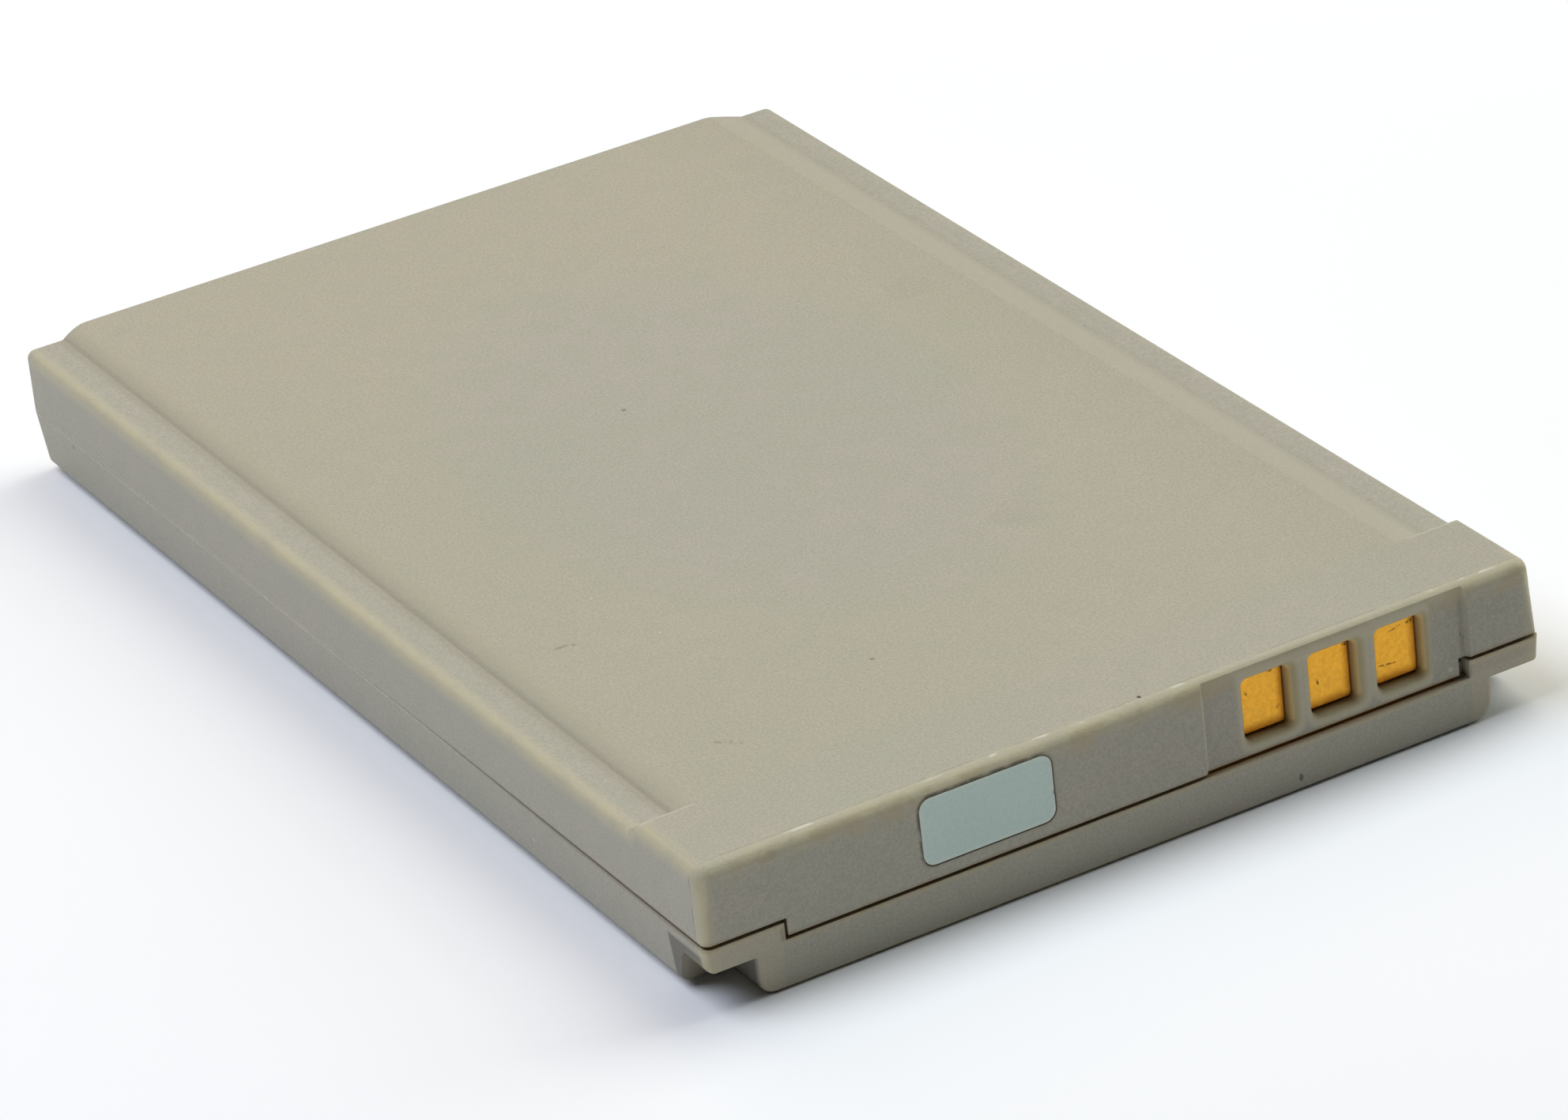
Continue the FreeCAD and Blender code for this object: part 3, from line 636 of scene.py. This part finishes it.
def case_plastic():
    """Moulded plastic of the covers, with the marks of use on it, and painted light and shade."""
    finish = Finish("case_plastic", {"Specular IOR Level": 0.32})
    colour, grain = plastic_grain(finish)
    for layer in (
        worn_and_highlit_edges,
        mould_lines,
        marks_of_use,
        ramp_grime_and_notch_shade,
        painted_pocket_shadow,
        panel_marks,
        window_marks,
        joint_dirt_and_rear_light,
        joint_stains,
    ):
        colour = layer(finish, colour)
    finish.surface(colour, 0.45 + 0.2 * grain, finish.noise(7000, 2, 0.6), 16 * MICROMETRE)
    return finish.material


def pad_inset(finish, shift):
    """How far a place is inside the outline of its contact pad, once the outline is shifted."""
    across = (finish.x - (panel_middle + shift[0])).wrapped(pad_pitch)
    past_x = abs(across) - (pad_half[0] - pad_round)
    past_z = abs(finish.z - (pad_z + shift[1])) - (pad_half[1] - pad_round)
    return finish.corner_inset(past_x, past_z, pad_round)


def contact_gold():
    """Gold plate, dull in patches, with dark specks, and darker brown-orange towards its right and lower
    edges: painted shade from the window walls, with some tarnishing.
    """
    finish = Finish("contact_gold", {"Metallic": 1.0})
    deep_gold = (0.76, 0.355, 0.036)
    bright_gold = (0.82, 0.44, 0.053)
    tarnished_and_shaded = (0.42, 0.145, 0.01)
    bare = (0.07, 0.035, 0.01)
    dull = finish.noise(700, 4, 0.6)
    mottle = finish.noise(6500, 3, 0.7)
    colour = finish.between(deep_gold, bright_gold, dull)
    colour = finish.shaded(colour, 0.68 + 0.64 * mottle)
    patchy = finish.noise(1500, 3, 0.6).rise(0.3, 0.6)
    # Painted shade from the window walls, with some tarnishing, towards the right and lower edges.
    tarnish_and_shade = pad_inset(finish, (-0.12, 0.2)).fall(-0.1, 0.32) * (0.65 + 0.35 * patchy)
    colour = finish.between(colour, tarnished_and_shaded, 0.85 * tarnish_and_shade)
    specks = [
        ((6.67, 5.22), (0.13, 0.07)),
        ((5.55, 4.6), (0.05, 0.12), 0.4),
        ((6.91, 3.6), (0.07, 0.1)),
        ((10.05, 5.15), (0.15, 0.08)),
        ((8.72, 3.96), (0.05, 0.14), 0.3),
        ((12.95, 5.09), (0.16, 0.1)),
        ((11.87, 3.6), (0.42, 0.045), -0.1),
        ((12.3, 5.0), (0.3, 0.03), 0.25),
    ]
    ragged = finish.noise(9000, 2, 0.6).rise(0.38, 0.58)
    colour = finish.between(colour, bare, 0.8 * finish.spots(finish.x, finish.z, specks) * ragged)
    roughness = 0.32 + 0.2 * dull + 0.1 * tarnish_and_shade
    finish.surface(colour, roughness, dull + 0.15 * mottle, 20 * MICROMETRE)
    return finish.material


def label_film():
    """Plain grey-green sticker with a paler cut edge and a nick at its left edge."""
    finish = Finish("label_film", {"Specular IOR Level": 0.35})
    dark_film = (0.555, 0.69, 0.62)
    pale_film = (0.61, 0.735, 0.665)
    cut_edge = (0.68, 0.74, 0.66)
    nick_dirt = (0.2, 0.17, 0.12)
    low, high = (Vector(corner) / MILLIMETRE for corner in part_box("front_label"))
    middle = (low + high) / 2
    half = (high - low) / 2
    inset = finish.plate_inset((middle.x, middle.z), (half.x, half.z), label_round)
    fibre = finish.noise(5000, 3, 0.6)
    cloud = finish.noise(400, 2, 0.5)
    colour = finish.between(dark_film, pale_film, cloud)
    colour = finish.shaded(colour, 0.9 + 0.2 * fibre)
    colour = finish.between(colour, cut_edge, 0.7 * inset.fall(0.06, 0.18))
    nick = finish.spot(finish.x, finish.z, (-3.34, 3.92), (0.06, 0.1))
    colour = finish.between(colour, nick_dirt, 0.6 * nick)
    finish.surface(colour, 0.45 + 0.2 * fibre, fibre, 6 * MICROMETRE)
    return finish.material


def cell_can():
    """Drawn aluminium with fine lines along its length."""
    finish = Finish("cell_can", {"Metallic": 1.0})
    drawn = finish.noise(4000, 3, 0.6, finish.stretched(1, 0.02, 1))
    cloud = finish.noise(90, 3, 0.5)
    colour = finish.between((0.72, 0.73, 0.74), (0.82, 0.83, 0.84), 0.5 * drawn + 0.5 * cloud)
    finish.surface(colour, 0.28 + 0.2 * drawn, drawn, 4 * MICROMETRE)
    return finish.material


def nickel_strip():
    """Rolled nickel with faint lines and dull handling marks."""
    finish = Finish("nickel", {"Metallic": 1.0})
    rolled = finish.noise(6000, 2, 0.5, finish.stretched(0.05, 0.05, 1))
    dull = finish.noise(500, 3, 0.6)
    colour = finish.between((0.6, 0.57, 0.52), (0.7, 0.67, 0.61), 0.6 * rolled + 0.4 * dull)
    finish.surface(colour, 0.25 + 0.25 * dull, rolled, 4 * MICROMETRE)
    return finish.material


def board_laminate():
    """Green solder mask over the weave of a glass laminate."""
    finish = Finish("board_laminate", {"Coat Weight": 0.3, "Coat Roughness": 0.2})
    thread_pitch = 0.5
    threads = 2 * math.pi / thread_pitch
    weave = (finish.x * threads).sine() * (finish.z * threads).sine()
    cloud = finish.noise(500, 3, 0.5)
    paleness = 0.35 + 0.3 * weave + 0.4 * (cloud - 0.5)
    colour = finish.between((0.012, 0.12, 0.04), (0.025, 0.19, 0.065), paleness)
    finish.surface(colour, 0.35 + 0.2 * cloud, weave, 6 * MICROMETRE)
    return finish.material


def fibrous(name, thin, thick, stretch, scale):
    """Pressed or woven fibres, paler where they are thick."""
    finish = Finish(name, {"Specular IOR Level": 0.25})
    fibre = finish.noise(scale, 4, 0.65, finish.stretched(*stretch))
    cloud = finish.noise(scale / 12, 2, 0.5)
    colour = finish.between(thin, thick, 0.7 * fibre + 0.3 * cloud)
    finish.surface(colour, 0.65 + 0.3 * fibre, fibre, 10 * MICROMETRE)
    return finish.material


def moulded(name, dark, pale, scale, roughness):
    """Moulded compound with a fine speckle."""
    finish = Finish(name, {"Specular IOR Level": 0.4})
    speckle = finish.cells(scale).fall(0.1, 0.6)
    cloud = finish.noise(scale / 8, 3, 0.5)
    colour = finish.between(dark, pale, 0.5 * speckle + 0.5 * cloud)
    finish.surface(colour, roughness + 0.2 * (cloud - 0.5), speckle, 8 * MICROMETRE)
    return finish.material


def chip_ceramic(node):
    """A fired ceramic chip with a tinned cap at each end."""
    finish = Finish("chip_ceramic_" + node, {"Specular IOR Level": 0.5})
    low, high = (Vector(corner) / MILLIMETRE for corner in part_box(node))
    half = (high.x - low.x) / 2
    fired = finish.noise(9000, 3, 0.6)
    uneven = 0.04 * (fired - 0.5)
    cap = abs(finish.x - (low.x + half) + uneven).rise(0.62 * half, 0.66 * half)
    body = finish.between((0.28, 0.21, 0.15), (0.4, 0.31, 0.23), fired)
    tin = finish.between((0.62, 0.62, 0.6), (0.76, 0.76, 0.74), fired)
    finish.surface(finish.between(body, tin, cap), 0.55 - 0.2 * cap, fired, 6 * MICROMETRE, cap)
    return finish.material


# Pieces


def smooth(mesh, limit):
    """Shades a closed mesh smooth over edges under a limit, with flat faces left flat."""
    mesh.shade_smooth()
    least_likeness = math.cos(limit)
    faces_at = [[] for vertex in mesh.vertices]
    for face in mesh.polygons:
        for vertex in face.vertices:
            faces_at[vertex].append(face.index)
    normals = [face.normal.copy() for face in mesh.polygons]
    areas = [face.area for face in mesh.polygons]
    corners = []
    for face in mesh.polygons:
        own = normals[face.index]
        for vertex in face.vertices:
            near = [other for other in faces_at[vertex] if normals[other].dot(own) > least_likeness]
            corners.append(sum((normals[other] * areas[other] for other in near), Vector()).normalized())
    mesh.normals_split_custom_set(corners)


def dressed(node, material):
    """A smooth copy of a node's solid that takes its place."""
    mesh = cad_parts[node].data.copy()
    mesh.name = node + "_skin"
    shape = bmesh.new()
    shape.from_mesh(mesh)
    bmesh.ops.remove_doubles(shape, verts=shape.verts, dist=0.001 * MILLIMETRE)
    shape.to_mesh(mesh)
    shape.free()
    mesh.materials.clear()
    mesh.materials.append(material)
    smooth(mesh, math.radians(32))
    piece = bpy.data.objects.new(node + "_skin", mesh)
    bpy.context.collection.objects.link(piece)
    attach(piece, "root")
    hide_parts(node)


def dress_outside():
    plastic = case_plastic()
    for node in ("top_cover", "bottom_cover"):
        dressed(node, plastic)
    gold = contact_gold()
    for node in ("contact_left", "contact_middle", "contact_right"):
        dressed(node, gold)
    dressed("front_label", label_film())


def dress_inside(nickel):
    for node in ("cell_terminal", "positive_lead", "negative_lead", "fuse_lead"):
        dressed(node, nickel)
    dressed("cell", cell_can())
    dressed("circuit_board", board_laminate())
    gasket = moulded("gasket_plastic", (0.62, 0.62, 0.59), (0.74, 0.74, 0.71), 3000, 0.45)
    dressed("terminal_gasket", gasket)
    paper = fibrous("insulating_paper", (0.5, 0.57, 0.48), (0.68, 0.73, 0.64), (0.3, 1, 1), 5000)
    dressed("lid_insulator", paper)
    fuse = moulded("fuse_body", (0.035, 0.035, 0.04), (0.07, 0.07, 0.075), 2500, 0.5)
    dressed("thermal_fuse", fuse)
    tissue = fibrous("tape_white", (0.7, 0.7, 0.67), (0.86, 0.86, 0.84), (1, 0.4, 1), 3500)
    for node in ("lower_tape", "upper_tape"):
        dressed(node, tissue)
    compound = moulded("package_black", (0.014, 0.014, 0.016), (0.034, 0.034, 0.036), 8000, 0.55)
    for node in ("protection_chip", "switch_transistor"):
        dressed(node, compound)
    chips = ("sense_resistor", "filter_resistor", "filter_capacitor", "thermistor", "identity_resistor")
    for node in chips:
        dressed(node, chip_ceramic(node))


def weld_spot_tree(nickel):
    """Rows of low round weld spots on an upright face, centred on a place."""
    tree = bpy.data.node_groups.new("weld_spots", "GeometryNodeTree")
    tree.interface.new_socket("Geometry", in_out="OUTPUT", socket_type="NodeSocketGeometry")
    kinds = {
        "Columns": "NodeSocketInt",
        "Rows": "NodeSocketInt",
        "Width": "NodeSocketFloat",
        "Height": "NodeSocketFloat",
        "Spot Size": "NodeSocketVector",
        "Place": "NodeSocketVector",
    }
    for name, kind in kinds.items():
        tree.interface.new_socket(name, in_out="INPUT", socket_type=kind)
    given = tree.nodes.new("NodeGroupInput").outputs

    def add(kind, **sockets):
        node = tree.nodes.new(kind)
        for name, value in sockets.items():
            socket = node.inputs[name.replace("_", " ")]
            if isinstance(value, bpy.types.NodeSocket):
                tree.links.new(value, socket)
            else:
                socket.default_value = value
        return node

    grid = add(
        "GeometryNodeMeshGrid",
        Size_X=given["Width"],
        Size_Y=given["Height"],
        Vertices_X=given["Columns"],
        Vertices_Y=given["Rows"],
    )
    spot = add("GeometryNodeMeshUVSphere", Segments=16, Rings=8, Radius=1.0)
    spots = add(
        "GeometryNodeInstanceOnPoints",
        Points=grid.outputs["Mesh"],
        Instance=spot.outputs["Mesh"],
        Scale=given["Spot Size"],
    )
    upright = (math.pi / 2, 0, 0)
    placed = add(
        "GeometryNodeTransform", Geometry=spots.outputs[0], Rotation=upright, Translation=given["Place"]
    )
    real = add("GeometryNodeRealizeInstances", Geometry=placed.outputs[0])
    coloured = add("GeometryNodeSetMaterial", Geometry=real.outputs[0], Material=nickel)
    tree.links.new(coloured.outputs[0], tree.nodes.new("NodeGroupOutput").inputs[0])
    return tree


def weld_spots(name, tree, columns, rows, width, height, place):
    """Spots where a nickel strip is welded down, as a plain mesh."""
    start = bpy.data.objects.new(name + "_start", bpy.data.meshes.new(name + "_start"))
    bpy.context.collection.objects.link(start)
    modifier = start.modifiers.new("spots", "NODES")
    modifier.node_group = tree
    spot_radius = 0.35 * MILLIMETRE
    spot_rise = 0.04 * MILLIMETRE
    values = {
        "Columns": columns,
        "Rows": rows,
        "Width": width,
        "Height": height,
        "Spot Size": (spot_radius, spot_radius, spot_rise),
        "Place": place,
    }
    for item in tree.interface.items_tree:
        if item.in_out == "INPUT":
            modifier[item.identifier] = values[item.name]
    evaluated = start.evaluated_get(bpy.context.evaluated_depsgraph_get())
    mesh = bpy.data.meshes.new_from_object(evaluated)
    mesh.name = name
    mesh.shade_smooth()
    bpy.data.objects.remove(start)
    piece = bpy.data.objects.new(name, mesh)
    bpy.context.collection.objects.link(piece)
    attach(piece, "root")


def weld_strips(nickel):
    """Welds on the feet of the strips: on the cell's lid, on its terminal and on the fuse."""
    tree = weld_spot_tree(nickel)
    strip = 0.12 * MILLIMETRE
    pitch = 1.1 * MILLIMETRE
    lid_foot = 1.4 * MILLIMETRE  # from the strip's end to the middle of its welds
    fuse_foot = 2.2 * MILLIMETRE
    low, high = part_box("positive_lead")
    lid_place = (low[0] + lid_foot, high[1] - strip, (low[2] + high[2]) / 2)
    weld_spots("lid_welds", tree, 2, 2, pitch, pitch, lid_place)
    low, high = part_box("negative_lead")
    middle_z = (low[2] + high[2]) / 2
    weld_spots("terminal_welds", tree, 3, 1, 2 * pitch, 0, (0, low[1], middle_z))
    weld_spots("fuse_welds", tree, 2, 1, pitch, 0, (high[0] - fuse_foot, low[1], middle_z))


place_camera()
light_studio()
lay_floor()
nickel = nickel_strip()
dress_outside()
dress_inside(nickel)
weld_strips(nickel)
